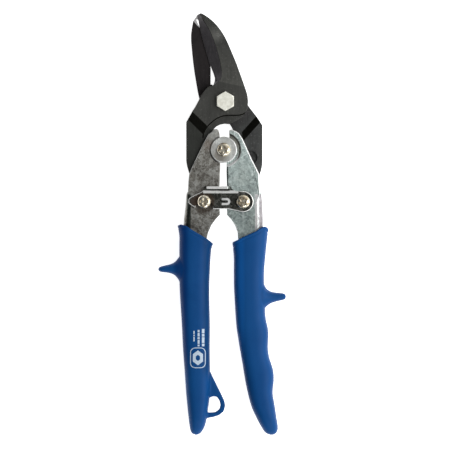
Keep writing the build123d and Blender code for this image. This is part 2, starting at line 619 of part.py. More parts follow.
# ------------------------------------------------------------ tail pivots, with the catch and latch screws
with BuildPart() as catch_sleeve:
    with BuildSketch(Plane.XY.offset(MID - PLATE_OUT)):
        with Locations(L):
            Circle(SLEEVE_R)
            Circle(NECK_R, mode=Mode.SUBTRACT)
    extrude(amount=2 * PLATE_OUT)
catch_sleeve.part.label = "catch_sleeve"
export_step(catch_sleeve.part, "parts/catch_sleeve.step")

with BuildPart() as latch_pivot_sleeve:
    with BuildSketch(Plane.XY.offset(MID - PLATE_OUT)):
        with Locations(R):
            Circle(SLEEVE_R)
            Circle(NECK_R, mode=Mode.SUBTRACT)
    extrude(amount=2 * PLATE_OUT)
latch_pivot_sleeve.part.label = "latch_pivot_sleeve"
export_step(latch_pivot_sleeve.part, "parts/latch_pivot_sleeve.step")

with BuildPart() as catch_screw:
    with BuildSketch(Plane(origin=(*L, MID), x_dir=(1, 0, 0), z_dir=(0, -1, 0))):
        with BuildLine():
            Polyline((0, -7.3), (NECK_R, -7.3), (NECK_R, 7.35), (PAN_R, 7.35), (PAN_R, 8.6))
            ThreePointArc((PAN_R, 8.6), (PAN_R - 0.75, 9.75), (1.6, 10.2))
            Polyline((1.6, 10.2), (0, 10.2), (0, -7.3))
        make_face()
    revolve(axis=Axis((*L, 0), (0, 0, 1)))
    with BuildSketch(Plane.XY.offset(MID + 8.2)):
        with Locations(L):
            Rectangle(4.6, 1.1, rotation=0)
            Rectangle(4.6, 1.1, rotation=90)
    extrude(amount=3, taper=-8, mode=Mode.SUBTRACT)
catch_screw.part.label = "catch_screw"
export_step(catch_screw.part, "parts/catch_screw.step")

with BuildPart() as latch_pivot_screw:
    with BuildSketch(Plane(origin=(*R, MID), x_dir=(1, 0, 0), z_dir=(0, -1, 0))):
        with BuildLine():
            Polyline((0, -7.3), (NECK_R, -7.3), (NECK_R, 7.35), (PAN_R, 7.35), (PAN_R, 8.6))
            ThreePointArc((PAN_R, 8.6), (PAN_R - 0.75, 9.75), (1.6, 10.2))
            Polyline((1.6, 10.2), (0, 10.2), (0, -7.3))
        make_face()
    revolve(axis=Axis((*R, 0), (0, 0, 1)))
    with BuildSketch(Plane.XY.offset(MID + 8.2)):
        with Locations(R):
            Rectangle(4.6, 1.1, rotation=35)
            Rectangle(4.6, 1.1, rotation=125)
    extrude(amount=3, taper=-8, mode=Mode.SUBTRACT)
latch_pivot_screw.part.label = "latch_pivot_screw"
export_step(latch_pivot_screw.part, "parts/latch_pivot_screw.step")

with BuildPart() as catch_nut:
    with BuildSketch(Plane.XY.offset(MID - 7.5)):
        with Locations(L):
            RegularPolygon(radius=3.5, side_count=6, major_radius=False, rotation=12)
            Circle(NECK_R, mode=Mode.SUBTRACT)
    extrude(amount=7.5 - PLATE_OUT)
    with BuildSketch(Plane(origin=(*L, MID - 7.5), x_dir=(1, 0, 0), z_dir=(0, -1, 0))):
        with BuildLine():
            Polyline((0, 0), (3.35, 0), (5.5, 0.9), (5.5, 3), (0, 3), close=True)
        make_face()
    revolve(axis=Axis((*L, 0), (0, 0, 1)), mode=Mode.INTERSECT)
catch_nut.part.label = "catch_nut"
export_step(catch_nut.part, "parts/catch_nut.step")

with BuildPart() as latch_pivot_nut:
    with BuildSketch(Plane.XY.offset(MID - 7.5)):
        with Locations(R):
            RegularPolygon(radius=3.5, side_count=6, major_radius=False, rotation=40)
            Circle(NECK_R, mode=Mode.SUBTRACT)
    extrude(amount=7.5 - PLATE_OUT)
    with BuildSketch(Plane(origin=(*R, MID - 7.5), x_dir=(1, 0, 0), z_dir=(0, -1, 0))):
        with BuildLine():
            Polyline((0, 0), (3.35, 0), (5.5, 0.9), (5.5, 3), (0, 3), close=True)
        make_face()
    revolve(axis=Axis((*R, 0), (0, 0, 1)), mode=Mode.INTERSECT)
latch_pivot_nut.part.label = "latch_pivot_nut"
export_step(latch_pivot_nut.part, "parts/latch_pivot_nut.step")

with BuildPart() as latch_spacer:
    with BuildSketch(Plane.XY.offset(MID + PLATE_OUT)):
        with Locations(R):
            Circle(4.4)
            Circle(NECK_R, mode=Mode.SUBTRACT)
    extrude(amount=LATCH_LOW - PLATE_OUT - 0.05)
latch_spacer.part.label = "latch_spacer"
export_step(latch_spacer.part, "parts/latch_spacer.step")

# ------------------------------------------------------------ latch
with BuildPart() as latch:
    with BuildSketch(Plane.XY.offset(MID + LATCH_LOW)):
        with BuildLine():
            Polyline(*LATCH_LEFT, *[(L[0] + x, L[1] + y) for x, y in CLAW], *LATCH_RIGHT, close=True)
        make_face()
        with Locations(R):
            Circle(LATCH_LOBE_R)
    extrude(amount=LATCH_TOP - LATCH_LOW)
    # thumb tab bent towards the front, along the top edge
    with BuildSketch(Plane(origin=(0, LATCH_LEFT[3][1], MID), x_dir=(1, 0, 0), z_dir=(0, -1, 0))):
        with BuildLine():
            Polyline((LATCH_LEFT[4][0], LATCH_LOW), (LATCH_LEFT[3][0], LATCH_LOW),
                     (LATCH_LEFT[3][0] - 0.3, 8.0), (LATCH_LEFT[3][0] - 1.9, TAB_TOP),
                     (LATCH_LEFT[4][0] + 1.5, TAB_TOP), (LATCH_LEFT[4][0] + 0.2, 8.0), close=True)
        make_face()
    extrude(amount=1.5)
    # relief groove along the foot of the tab
    with BuildSketch(Plane.XY.offset(MID + LATCH_TOP)):
        with Locations(((LATCH_LEFT[3][0] + LATCH_LEFT[4][0]) / 2, LATCH_LEFT[3][1] - 1.5 - 0.45)):
            Rectangle(LATCH_LEFT[3][0] - LATCH_LEFT[4][0] - 1.2, 0.9)
    extrude(amount=-0.8, mode=Mode.SUBTRACT)
    # window with a raised loop in it
    with BuildSketch(Plane.XY.offset(MID + LATCH_TOP)):
        with Locations(WINDOW):
            SlotOverall(WINDOW_W, WINDOW_H)
    extrude(amount=-WINDOW_D, mode=Mode.SUBTRACT)
    with BuildSketch(Plane.XY.offset(MID + LATCH_TOP - WINDOW_D)):
        with Locations((WINDOW[0] + RIB_W / 2 - RIB_H / 2, WINDOW[1])):
            Circle(RIB_H / 2)
        with Locations((WINDOW[0] - RIB_H / 4, WINDOW[1])):
            Rectangle(RIB_W - RIB_H / 2, RIB_H)
        with Locations((WINDOW[0] + RIB_W / 2 - RIB_H / 2, WINDOW[1])):
            Circle(RIB_H / 2 - RIB_T, mode=Mode.SUBTRACT)
        with Locations((WINDOW[0] - RIB_H / 4 - 0.5, WINDOW[1])):
            Rectangle(RIB_W - RIB_H / 2 + 1.0, RIB_H - 2 * RIB_T, mode=Mode.SUBTRACT)
    extrude(amount=WINDOW_D - 0.05)
    with BuildSketch(Plane.XY.offset(MID + 5)):
        with Locations(R):
            Circle(NECK_R + RUN)
    extrude(amount=4, mode=Mode.SUBTRACT)
latch.part.label = "latch"
export_step(latch.part, "parts/latch.step")

# ------------------------------------------------------------ opening spring round the handle pivot
with BuildPart() as opening_spring:
    # two close-wound turns
    for z in (-COIL_H, COIL_H):
        with BuildSketch(Plane(origin=(*C, MID + z), x_dir=(1, 0, 0), z_dir=(0, -1, 0))):
            with Locations((COIL_R, 0)):
                Circle(WIRE_R)
        revolve(axis=Axis((*C, 0), (0, 0, 1)))
    for side, z in ((1, -COIL_H), (-1, COIL_H)):
        # a leg down behind each plate, its end turned into a hole of the back plate
        with BuildSketch(Plane(origin=(C[0] + side * COIL_R, C[1] + 0.3, MID + z), x_dir=(1, 0, 0), z_dir=(0, -1, 0))):
            Circle(LEG_R)
        extrude(amount=C[1] + 0.3 - 25.0)
        with BuildSketch(Plane.XY.offset(MID + z + WIRE_R)):
            with Locations((C[0] + side * COIL_R, 25.0)):
                Circle(WIRE_R)
        extrude(amount=-(PLATE_OUT + z + WIRE_R))
opening_spring.part.label = "opening_spring"
export_step(opening_spring.part, "parts/opening_spring.step")
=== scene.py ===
import bpy, bmesh, json, math
import numpy as np
from mathutils import Vector, Matrix
from mathutils.bvhtree import BVHTree


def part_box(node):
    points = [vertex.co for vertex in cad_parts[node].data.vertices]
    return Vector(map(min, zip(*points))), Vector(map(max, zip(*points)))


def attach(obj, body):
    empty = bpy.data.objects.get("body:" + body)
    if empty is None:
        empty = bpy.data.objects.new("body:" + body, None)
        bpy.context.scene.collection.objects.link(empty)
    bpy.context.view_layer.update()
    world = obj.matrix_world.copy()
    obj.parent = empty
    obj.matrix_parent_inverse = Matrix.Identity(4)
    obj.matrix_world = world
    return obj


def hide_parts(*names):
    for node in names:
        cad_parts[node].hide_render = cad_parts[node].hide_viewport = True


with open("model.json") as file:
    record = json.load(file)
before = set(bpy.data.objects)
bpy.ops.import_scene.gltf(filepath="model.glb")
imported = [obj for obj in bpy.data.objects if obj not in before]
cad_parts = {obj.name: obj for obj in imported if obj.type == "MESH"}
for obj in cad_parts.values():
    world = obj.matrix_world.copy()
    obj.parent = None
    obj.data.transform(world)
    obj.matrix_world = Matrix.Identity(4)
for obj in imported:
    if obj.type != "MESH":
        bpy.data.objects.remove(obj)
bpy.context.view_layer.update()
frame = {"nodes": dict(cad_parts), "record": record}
NODES = frame["nodes"]
MM = 0.001
MID = 9.0 * MM
M = (1.96, 72.83)
C = (0.98, 44.08)
L = (-10.55, 13.37)
R = (12.45, 13.31)
scene = bpy.context.scene
BODY = {n: b for b, ns in frame["record"]["behaviour"]["bodies"].items() for n in ns}
SLOT = {s["node"]: s["material_slot"] for s in frame["record"]["subparts"]}


# ------------------------------------------------------------------ materials
class Mat:
    """A small helper round one node tree."""

    def __init__(self, name):
        self.m = bpy.data.materials.new(name)
        self.m.use_nodes = True
        self.t = self.m.node_tree
        self.b = next(n for n in self.t.nodes if n.type == "BSDF_PRINCIPLED")
        self.geo = self.node("ShaderNodeTexCoord")

    def node(self, kind, **props):
        n = self.t.nodes.new(kind)
        for k, v in props.items():
            setattr(n, k, v)
        return n

    def link(self, a, b):
        self.t.links.new(a, b)

    def coords(self, scale=(1, 1, 1), rot=(0, 0, 0), loc=(0, 0, 0)):
        mp = self.node("ShaderNodeMapping")
        mp.inputs["Scale"].default_value = scale
        mp.inputs["Rotation"].default_value = rot
        mp.inputs["Location"].default_value = loc
        self.link(self.geo.outputs["Object"], mp.inputs["Vector"])
        return mp.outputs["Vector"]

    def noise(self, scale, detail=4.0, rough=0.55, distort=0.0, vec=None):
        n = self.node("ShaderNodeTexNoise")
        n.inputs["Scale"].default_value = scale
        n.inputs["Detail"].default_value = detail
        n.inputs["Roughness"].default_value = rough
        n.inputs["Distortion"].default_value = distort
        self.link(vec if vec is not None else self.coords(), n.inputs["Vector"])
        return n.outputs["Fac"]

    def voronoi(self, scale, vec=None, feature="F1", rand=1.0):
        n = self.node("ShaderNodeTexVoronoi", feature=feature)
        n.inputs["Scale"].default_value = scale
        n.inputs["Randomness"].default_value = rand
        self.link(vec if vec is not None else self.coords(), n.inputs["Vector"])
        return n

    def ramp(self, fac, stops, interp="LINEAR"):
        n = self.node("ShaderNodeValToRGB")
        n.color_ramp.interpolation = interp
        e = n.color_ramp.elements
        while len(e) < len(stops):
            e.new(0.5)
        for i, (p, c) in enumerate(stops):
            e[i].position = p
            e[i].color = (*c, 1) if len(c) == 3 else c
        self.link(fac, n.inputs["Fac"])
        return n.outputs["Color"]

    def mix(self, fac, a, b, mode="MIX"):
        n = self.node("ShaderNodeMix", data_type="RGBA", blend_type=mode)
        for sock, v in ((n.inputs[0], fac), (n.inputs[6], a), (n.inputs[7], b)):
            if hasattr(v, "links"):
                self.link(v, sock)
            elif isinstance(v, (int, float)):
                sock.default_value = v
            else:
                sock.default_value = (*v, 1)
        return n.outputs[2]

    def math(self, op, a, b=None):
        n = self.node("ShaderNodeMath", operation=op)
        for sock, v in zip(n.inputs, (a, b)):
            if v is None:
                continue
            if hasattr(v, "links"):
                self.link(v, sock)
            else:
                sock.default_value = v
        return n.outputs[0]

    def map(self, fac, lo, hi, a=0.0, b=1.0):
        n = self.node("ShaderNodeMapRange")
        n.inputs[1].default_value = a
        n.inputs[2].default_value = b
        n.inputs[3].default_value = lo
        n.inputs[4].default_value = hi
        self.link(fac, n.inputs[0])
        return n.outputs[0]

    def bump(self, layers):
        """layers: (height socket, strength, distance in metres)"""
        prev = None
        for h, s, d in layers:
            n = self.node("ShaderNodeBump")
            n.inputs["Strength"].default_value = s
            n.inputs["Distance"].default_value = d
            self.link(h, n.inputs["Height"])
            if prev is not None:
                self.link(prev, n.inputs["Normal"])
            prev = n.outputs["Normal"]
        self.link(prev, self.b.inputs["Normal"])

    def edge(self, lo=0.52, hi=0.60):
        """worn edges, from the mesh's own pointiness"""
        g = self.node("ShaderNodeNewGeometry")
        return self.ramp(g.outputs["Pointiness"], [(lo, (0, 0, 0)), (hi, (1, 1, 1))])

    def place(self):
        s = self.node("ShaderNodeSeparateXYZ")
        self.link(self.geo.outputs["Object"], s.inputs[0])
        return s.outputs

    def band(self, sock, lo, hi, soft=0.25):
        """1 between lo and hi (mm) along one object axis, fading over soft"""
        a = self.map(sock, 0.0, 1.0, (lo - soft) * MM, lo * MM)
        b = self.map(sock, 1.0, 0.0, hi * MM, (hi + soft) * MM)
        return self.math("MULTIPLY", a, b)

    def disc(self, centre, radius, soft=0.25):
        """1 inside a circle in plan (mm)"""
        n = self.node("ShaderNodeVectorMath", operation="DISTANCE")
        mp = self.coords(scale=(1, 1, 0))
        self.link(mp, n.inputs[0])
        n.inputs[1].default_value = (centre[0] * MM, centre[1] * MM, 0)
        return self.map(n.outputs["Value"], 1.0, 0.0, radius * MM, (radius + soft) * MM)

    def beyond(self, point, normal, soft=0.15):
        """1 on the far side of a line in plan (mm)"""
        n = self.node("ShaderNodeVectorMath", operation="DOT_PRODUCT")
        k = math.hypot(*normal)
        n.inputs[1].default_value = (normal[0] / k, normal[1] / k, 0)
        self.link(self.geo.outputs["Object"], n.inputs[0])
        d = (point[0] * normal[0] + point[1] * normal[1]) / k
        return self.map(n.outputs["Value"], 0.0, 1.0, (d - soft) * MM, (d + soft) * MM)

    def set(self, **kw):
        for k, v in kw.items():
            s = self.b.inputs[k.replace("_", " ")]
            if hasattr(v, "links"):
                self.link(v, s)
            elif isinstance(v, tuple):
                s.default_value = (*v, 1) if len(v) == 3 else v
            else:
                s.default_value = v
        return self.m


def plated(name, dark, mid, light, rough=(0.30, 0.50), seed=0.0, grain=1.0, zones=(), fade=None, metal=0.9):
    """spangled zinc plate over pressed sheet: clouds, crystal patches, rolling lines and scuffs.
    zones: (mask maker, colour, strength); fade: (y low mm, y high mm, factor at the low end)"""
    m = Mat(name)
    v = m.coords(loc=(seed, seed * 0.7, 0))
    clouds = m.noise(110, 6, 0.66, 0.7, v)
    warp = m.node("ShaderNodeVectorMath", operation="ADD")
    nz = m.node("ShaderNodeTexNoise")
    nz.inputs["Scale"].default_value = 420
    m.link(v, nz.inputs["Vector"])
    sc = m.node("ShaderNodeVectorMath", operation="SCALE")
    sc.inputs["Scale"].default_value = 0.003
    m.link(nz.outputs["Color"], sc.inputs[0])
    m.link(v, warp.inputs[0])
    m.link(sc.outputs[0], warp.inputs[1])
    cells = m.voronoi(760, warp.outputs[0])
    cell_v = m.node("ShaderNodeSeparateColor")
    m.link(cells.outputs["Color"], cell_v.inputs[0])
    fine = m.noise(1500, 3, 0.6, 0, v)
    a = m.math("MULTIPLY", clouds, 0.58)
    b = m.math("MULTIPLY", cell_v.outputs[0], 0.16)
    c = m.math("MULTIPLY", fine, 0.26)
    f = m.math("ADD", m.math("ADD", a, b), c)
    col = m.ramp(f, [(0.38, dark), (0.50, mid), (0.62, light)])
    warm = m.noise(60, 4, 0.6, 0.4, m.coords(loc=(seed + 9, 3, 0)))
    col = m.mix(m.math("MULTIPLY", m.ramp(warm, [(0.50, (0, 0, 0)), (0.72, (1, 1, 1))]), 0.30), col, tuple(x * k for x, k in zip(dark, (1.10, 0.98, 0.84))))
    scr = m.noise(1, 2, 0.5, 0, m.coords(scale=(900, 60, 900), rot=(0, 0, 0.5 + seed), loc=(seed, 0, 0)))
    col = m.mix(m.math("MULTIPLY", m.ramp(scr, [(0.62, (0, 0, 0)), (0.80, (1, 1, 1))]), 0.7), col, tuple(min(1.0, x * 1.2) for x in light))
    for mask, tone, amount in zones:
        col = m.mix(m.math("MULTIPLY", mask(m), amount), col, m.mix(m.ramp(f, [(0.35, (0, 0, 0)), (0.65, (1, 1, 1))]), tuple(x * 0.80 for x in tone), tuple(min(1, x * 1.18) for x in tone)))
    if fade:
        k = m.map(m.place()[1], fade[2], 1.0, fade[0] * MM, fade[1] * MM)
        g = m.node("ShaderNodeCombineColor")
        for s in g.inputs:
            m.link(k, s)
        col = m.mix(1.0, col, g.outputs[0], "MULTIPLY")
    m.bump([(clouds, 0.35 * grain, 0.0008), (cell_v.outputs[0], 0.10 * grain, 0.0001), (scr, 0.12 * grain, 0.0001), (fine, 0.10 * grain, 0.00006)])
    return m.set(Base_Color=col, Metallic=metal, Roughness=m.map(f, rough[1], rough[0], 0.3, 0.7))


def blackened(name, base, hi, rough=0.42, seed=0.0, across=None, zones=(), metal=0.55, spec=0.35):
    """forged steel with a black oxide skin, faintly pitted. across: (x low mm, x high mm, factor at the high end), a
    painted gradient of light from one side to the other.
    zones: (mask maker, colour multiplier)"""
    m = Mat(name)
    v = m.coords(loc=(seed, 0, 0))
    scale = m.noise(90, 5, 0.6, 0.5, v)
    pits = m.noise(900, 4, 0.65, 0, v)
    draw = m.noise(1, 3, 0.6, 0, m.coords(scale=(1500, 90, 1500), rot=(0, 0, 0.3), loc=(seed, 0, 0)))
    col = m.mix(m.ramp(scale, [(0.3, (0, 0, 0)), (0.72, (1, 1, 1))]), base, hi)
    speck = m.ramp(pits, [(0.58, (0, 0, 0)), (0.70, (1, 1, 1))])
    col = m.mix(m.math("MULTIPLY", speck, 0.45), col, tuple(min(1, x * 2.2) for x in hi))
    col = m.mix(m.math("MULTIPLY", m.ramp(draw, [(0.45, (0, 0, 0)), (0.75, (1, 1, 1))]), 0.3), col, tuple(x * 1.5 for x in hi))
    if across:
        k = m.map(m.place()[0], 1.0, across[2], across[0] * MM, across[1] * MM)
        g = m.node("ShaderNodeCombineColor")
        for s in g.inputs:
            m.link(k, s)
        col = m.mix(1.0, col, g.outputs[0], "MULTIPLY")
    for mask, tone in zones:
        col = m.mix(mask(m), col, m.mix(1.0, col, tone, "MULTIPLY"))
    m.bump([(scale, 0.25, 0.0006), (pits, 0.30, 0.00007), (draw, 0.08, 0.00005)])
    return m.set(Base_Color=col, Metallic=metal, Roughness=m.map(scale, rough + 0.08, rough - 0.06, 0.3, 0.7), Specular_IOR_Level=spec)


def screwmetal(name, base, tint, rough=0.22, seed=0.0, metal=1.0):
    """passivated plating on a turned or cold-headed fastener"""
    m = Mat(name)
    v = m.coords(loc=(seed, seed, 0))
    cl = m.noise(420, 4, 0.6, 0.6, v)
    fine = m.noise(2600, 3, 0.6, 0, v)
    col = m.mix(m.ramp(cl, [(0.35, (0, 0, 0)), (0.68, (1, 1, 1))]), base, tint)
    m.bump([(cl, 0.10, 0.00008), (fine, 0.20, 0.00003)])
    return m.set(Base_Color=col, Metallic=metal, Roughness=m.map(fine, rough + 0.10, rough - 0.04, 0.3, 0.7))


def vinyl(name):
    """glossy dipped vinyl: soft mould waves, fine orange peel and a few rubbed patches, with painted shade on the left
    grip's two sides and painted light on the right grip's inner side
    """
    m = Mat(name)
    v = m.coords()
    wave = m.noise(45, 3, 0.5, 0.3, v)
    peel = m.noise(1400, 3, 0.55, 0, v)
    rub = m.noise(160, 5, 0.62, 0.4, v)
    col = m.mix(m.ramp(wave, [(0.3, (0, 0, 0)), (0.72, (1, 1, 1))]), (0.0030, 0.054, 0.196), (0.0045, 0.066, 0.228))
    col = m.mix(m.math("MULTIPLY", m.ramp(rub, [(0.60, (0, 0, 0)), (0.80, (1, 1, 1))]), 0.25), col, (0.006, 0.085, 0.26))
    x, y = m.place()[0], m.place()[1]
    # painted shade on the left grip's outer and inner sides, painted light on the right grip's inner side
    for lo, hi, soft, tone in ((-27.0, -21.6, 2.2, (0.30, 0.64, 0.80)), (-10.2, -6.5, 2.0, (0.70, 0.74, 0.72)), (4.0, 11.0, 2.8, (1.5, 1.50, 1.55))):
        k = m.math("MULTIPLY", m.band(x, lo, hi, soft), m.band(y, -84.0, 6.0, 8.0))
        col = m.mix(k, col, m.mix(1.0, col, tone, "MULTIPLY"))
    m.bump([(wave, 0.12, 0.0010), (peel, 0.16, 0.00006)])
    return m.set(Base_Color=col, Metallic=0.0, Roughness=m.map(rub, 0.42, 0.54, 0.35, 0.75), IOR=1.2, Specular_IOR_Level=0.5)


def ink(name, col):
    m = Mat(name)
    n = m.noise(2600, 3, 0.7, 0)
    c = m.mix(m.ramp(n, [(0.32, (1, 1, 1)), (0.46, (0, 0, 0))]), col, tuple(x * 0.72 for x in col))
    m.bump([(n, 0.1, 0.00003)])
    return m.set(Base_Color=c, Roughness=0.55)


MATS = {
    "front_jaw": blackened("oxide_front_painted_shading", (0.041, 0.041, 0.0375), (0.075, 0.075, 0.069), 0.40, zones=[
        # painted light on the blade above the crease
        (lambda m: m.beyond((-1.25, 84.4), (0.206, 0.979), 0.18), (1.42, 1.42, 1.40)),
        (lambda m: m.beyond((-1.25, 96.0), (0.206, 0.979), 11.0), (0.62, 0.62, 0.63)),
        # painted highlight patch near the tip
        (lambda m: m.disc((-3.4, 112.5), 1.0, 5.0), (2.3, 2.3, 2.3)),
        # painted shade on the front jaw's tail past the step
        (lambda m: m.beyond((-13.28, 62.46), (-0.691, -0.723), 0.3), (0.55, 0.58, 0.56))]),
    # rear jaw: oxide painted far darker than the front jaw's as painted shade, and lighter towards the right as painted
    # light (across)
    "rear_jaw": blackened("oxide_rear_painted_shading", (0.0110, 0.0088, 0.0092), (0.025, 0.0205, 0.0212), 0.44, 3.0, across=(-8, 14, 2.3), zones=[
        # painted light, slightly cooler, on the rear jaw's tail past the step
        (lambda m: m.beyond((6.0, 60.0), (0.743, -0.669), 6.0), (1.35, 1.70, 1.60)),
        # the rear blade's tip painted pale grey, as painted shade of the floor showing past it
        (lambda m: m.math("MULTIPLY", m.beyond((-17.25, 120.75), (0.7407, 0.6726), 0.12), m.beyond((0, 113.6), (0, 1), 0.5)), (30.0, 36.0, 35.0))]),
    # left plate: zinc painted darker and browner than the right plate's, as painted shade; fade makes it darker towards
    # the grips
    "left_handle_frame": plated("zinc_left_painted_shading", (0.118, 0.109, 0.096), (0.285, 0.278, 0.253), (0.54, 0.54, 0.51), seed=1.3, fade=(-6, 45, 0.62),
                                # hub disc on the left plate: a paler disc, with painted shade at its lower left and a
                                # painted highlight at its upper left
                                zones=[(lambda m: m.disc(C, 7.75), (0.63, 0.64, 0.615), 0.95), (lambda m: m.math("MULTIPLY", m.disc((C[0] - 2.2, C[1] - 3.4), 2.6, 3.0), m.disc(C, 7.0, 0.4)), (0.26, 0.235, 0.20), 0.80), (lambda m: m.math("MULTIPLY", m.disc((C[0] - 3.2, C[1] + 4.0), 1.2, 3.2), m.disc(C, 7.0, 0.4)), (0.80, 0.81, 0.79), 0.60),
                                       # painted highlight on the hub disc's lower right rim
                                       (lambda m: m.math("MULTIPLY", m.math("SUBTRACT", m.disc(C, 7.9, 0.2), m.disc(C, 7.0, 0.3)), m.beyond((C[0], C[1]), (1.0, -0.75), 2.5)), (1.0, 1.0, 0.99), 0.95),
                                       # painted brown shade round the left screw
                                       # painted shadow line round the hub disc's left rim
                                       (lambda m: m.math("MULTIPLY", m.math("SUBTRACT", m.disc(C, 8.5, 0.2), m.disc(C, 7.75, 0.15)), m.beyond((C[0] - 2.0, C[1]), (-1.0, 0.1), 2.0)), (0.045, 0.042, 0.04), 0.90), (lambda m: m.disc(L, 5.6, 2.4), (0.085, 0.062, 0.048), 0.70),
                                       (lambda m: m.math("MULTIPLY", m.disc((-8.6, 47.5), 1.0, 4.5), 1.0), (0.20, 0.15, 0.12), 0.55), (lambda m: m.disc((-6.6, 54.6), 1.5, 5.0), (0.62, 0.63, 0.60), 0.55),
                                       # painted shade on the outside bend of the left channel
                                       (lambda m: m.math("MULTIPLY", m.band(m.place()[0], -20.7, -18.7, 0.2), m.band(m.place()[1], -13.0, 17.6, 0.3)), (0.030, 0.040, 0.034), 0.92)]),
    # right plate: the same zinc painted lighter and cooler than the left plate's, as painted light; fade makes it
    # darker towards the grips
    "right_handle_frame": plated("zinc_right_painted_shading", (0.26, 0.305, 0.30), (0.51, 0.605, 0.58), (0.79, 0.89, 0.86), seed=4.1, fade=(-6, 45, 0.60),
                                 # painted shade along the right plate's edge at the slit, and painted brown shade in
                                 # the recess round the hub, strongest at its top
                                 zones=[(lambda m: m.math("MULTIPLY", m.band(m.place()[0], 2.2, 3.5, 0.3), m.band(m.place()[1], 21.5, 35.0, 0.8)), (0.045, 0.050, 0.048), 0.88), (lambda m: m.math("MULTIPLY", m.disc(C, 9.5), m.beyond(C, (0.3, 1.0), 5.0)), (0.16, 0.135, 0.11), 0.80),
                                        # painted highlight on the lower arc of the recess wall
                                        (lambda m: m.math("MULTIPLY", m.math("SUBTRACT", m.disc(C, 10.1, 0.5), m.disc(C, 8.9, 0.3)), m.beyond((C[0], C[1] - 4.5), (0.25, -1.0), 1.2)), (1.0, 1.0, 0.99), 0.95),
                                        # painted shadow on the upper right arc of the recess wall
                                        (lambda m: m.math("MULTIPLY", m.math("SUBTRACT", m.disc(C, 10.2, 0.3), m.disc(C, 9.3, 0.2)), m.beyond((C[0] + 4.0, C[1]), (1.0, 0.7), 1.5)), (0.05, 0.042, 0.035), 0.90),
                                        # painted highlight on the outside bend of the right channel
                                        (lambda m: m.math("MULTIPLY", m.band(m.place()[0], 19.6, 21.4, 0.2), m.band(m.place()[1], -13.0, 17.6, 0.3)), (1.0, 0.98, 0.97), 0.95),
                                        # painted shade, greyish purple, on the side of that bend
                                        (lambda m: m.math("MULTIPLY", m.band(m.place()[0], 21.9, 26.0, 0.2), m.band(m.place()[1], -13.0, 17.6, 0.3)), (0.40, 0.36, 0.38), 0.85)]),
    "latch": plated("latch_strip", (0.021, 0.021, 0.018), (0.050, 0.051, 0.045), (0.150, 0.150, 0.138), (0.30, 0.42), seed=7.7, grain=0.6,
                    # on the latch: a painted brown reflection of the yellow screw beside it, a painted glint, and
                    # painted brown shade round the left screw's head
                    zones=[(lambda m: m.disc((-15.6, 13.4), 2.2, 2.0), (0.085, 0.058, 0.046), 0.75), (lambda m: m.disc((-15.9, 10.3), 0.4, 0.5), (1.0, 0.98, 0.92), 0.9), (lambda m: m.disc(L, 5.2, 1.5), (0.060, 0.040, 0.028), 0.8),
                           # painted highlight along the latch's top edge below the tab
                           (lambda m: m.math("MULTIPLY", m.band(m.place()[1], 18.35, 19.85, 0.15), m.band(m.place()[0], -11.0, 9.4, 0.4)), (1.0, 1.0, 0.97), 1.0),
                           # painted highlight on the tab's top
                           (lambda m: m.band(m.place()[2], 19.0, 30.0, 0.2), (1.0, 0.99, 0.95), 1.0),
                           # painted highlight on the top of the raised loop
                           (lambda m: m.math("MULTIPLY", m.math("MULTIPLY", m.band(m.place()[2], 16.1, 16.22, 0.02), m.band(m.place()[1], 13.37 - 2.15, 13.37 + 2.15, 0.05)), m.band(m.place()[0], 2.31 - 2.6, 2.31 + 2.6, 0.05)), (1.0, 1.0, 0.98), 1.0)]),
    # edge materials: a dimmer painted highlight on the left plate's rounded rims, and near-white zinc as a painted
    # highlight on the right plate's and the latch's rims
    "rim_dim_highlight": plated("zinc_edge_dim_painted_highlight", (0.34, 0.34, 0.33), (0.46, 0.46, 0.44), (0.60, 0.60, 0.58), (0.30, 0.42), seed=3.4, grain=0.3, metal=0.55),
    "rim_highlight": plated("zinc_edge_painted_highlight", (0.80, 0.80, 0.78), (0.92, 0.92, 0.90), (0.99, 0.99, 0.98), (0.26, 0.38), seed=2.2, grain=0.3, metal=0.55),
    # near-black oxide with almost no sheen: painted shade on the jaws' steps, on the front jaw's edge over the hub and
    # on the line where its bevel starts
    "oxide_painted_shade": blackened("oxide_painted_shade", (0.0040, 0.0040, 0.0032), (0.0075, 0.0075, 0.0062), 0.45, 5.0, metal=0.0, spec=0.02),
    "oxide_bevel": blackened("oxide_bevel", (0.054, 0.050, 0.054), (0.100, 0.094, 0.100), 0.38, 6.0),
    "ground_steel": plated("ground_steel", (0.50, 0.50, 0.50), (0.66, 0.66, 0.66), (0.82, 0.82, 0.81), (0.30, 0.42), seed=6.2, grain=0.3, metal=0.45),
    "jaw_bolt": screwmetal("zinc_white", (0.74, 0.725, 0.63), (0.97, 0.96, 0.87), 0.42, metal=0.22),
    "zinc_white": screwmetal("zinc_white_back", (0.62, 0.62, 0.58), (0.82, 0.82, 0.78), 0.28, 2.0),
    "steel": screwmetal("turned_steel", (0.36, 0.36, 0.36), (0.55, 0.55, 0.54), 0.30, 5.0),
    "zinc_yellow": screwmetal("zinc_yellow", (0.46, 0.365, 0.235), (1.0, 0.96, 0.84), 0.11, 8.0),
    "spring_steel": screwmetal("spring_steel", (0.20, 0.20, 0.21), (0.36, 0.36, 0.37), 0.34, 9.0),
    "vinyl": vinyl("blue_vinyl"),
    "ink": ink("white_ink", (0.50, 0.60, 0.72)),
}


def material_for(node):
    return MATS.get(node) or MATS[SLOT[node]] if node not in ("left_grip", "right_grip") else MATS["vinyl"]


# ------------------------------------------------------------------ mesh helpers
def link_new(name, mesh):
    o = bpy.data.objects.new(name, mesh)
    scene.collection.objects.link(o)
    return o


def smooth(mesh, angle=35.0):
    mesh.polygons.foreach_set("use_smooth", [True] * len(mesh.polygons))
    mesh.set_sharp_from_angle(angle=math.radians(angle))


def bake(o):
    """applies the modifiers of o"""
    bpy.context.view_layer.update()
    dg = bpy.context.evaluated_depsgraph_get()
    me = bpy.data.meshes.new_from_object(o.evaluated_get(dg), preserve_all_data_layers=True, depsgraph=dg)
    o.modifiers.clear()
    old = o.data
    o.data = me
    me.name = o.name
    bpy.data.meshes.remove(old)
    return o


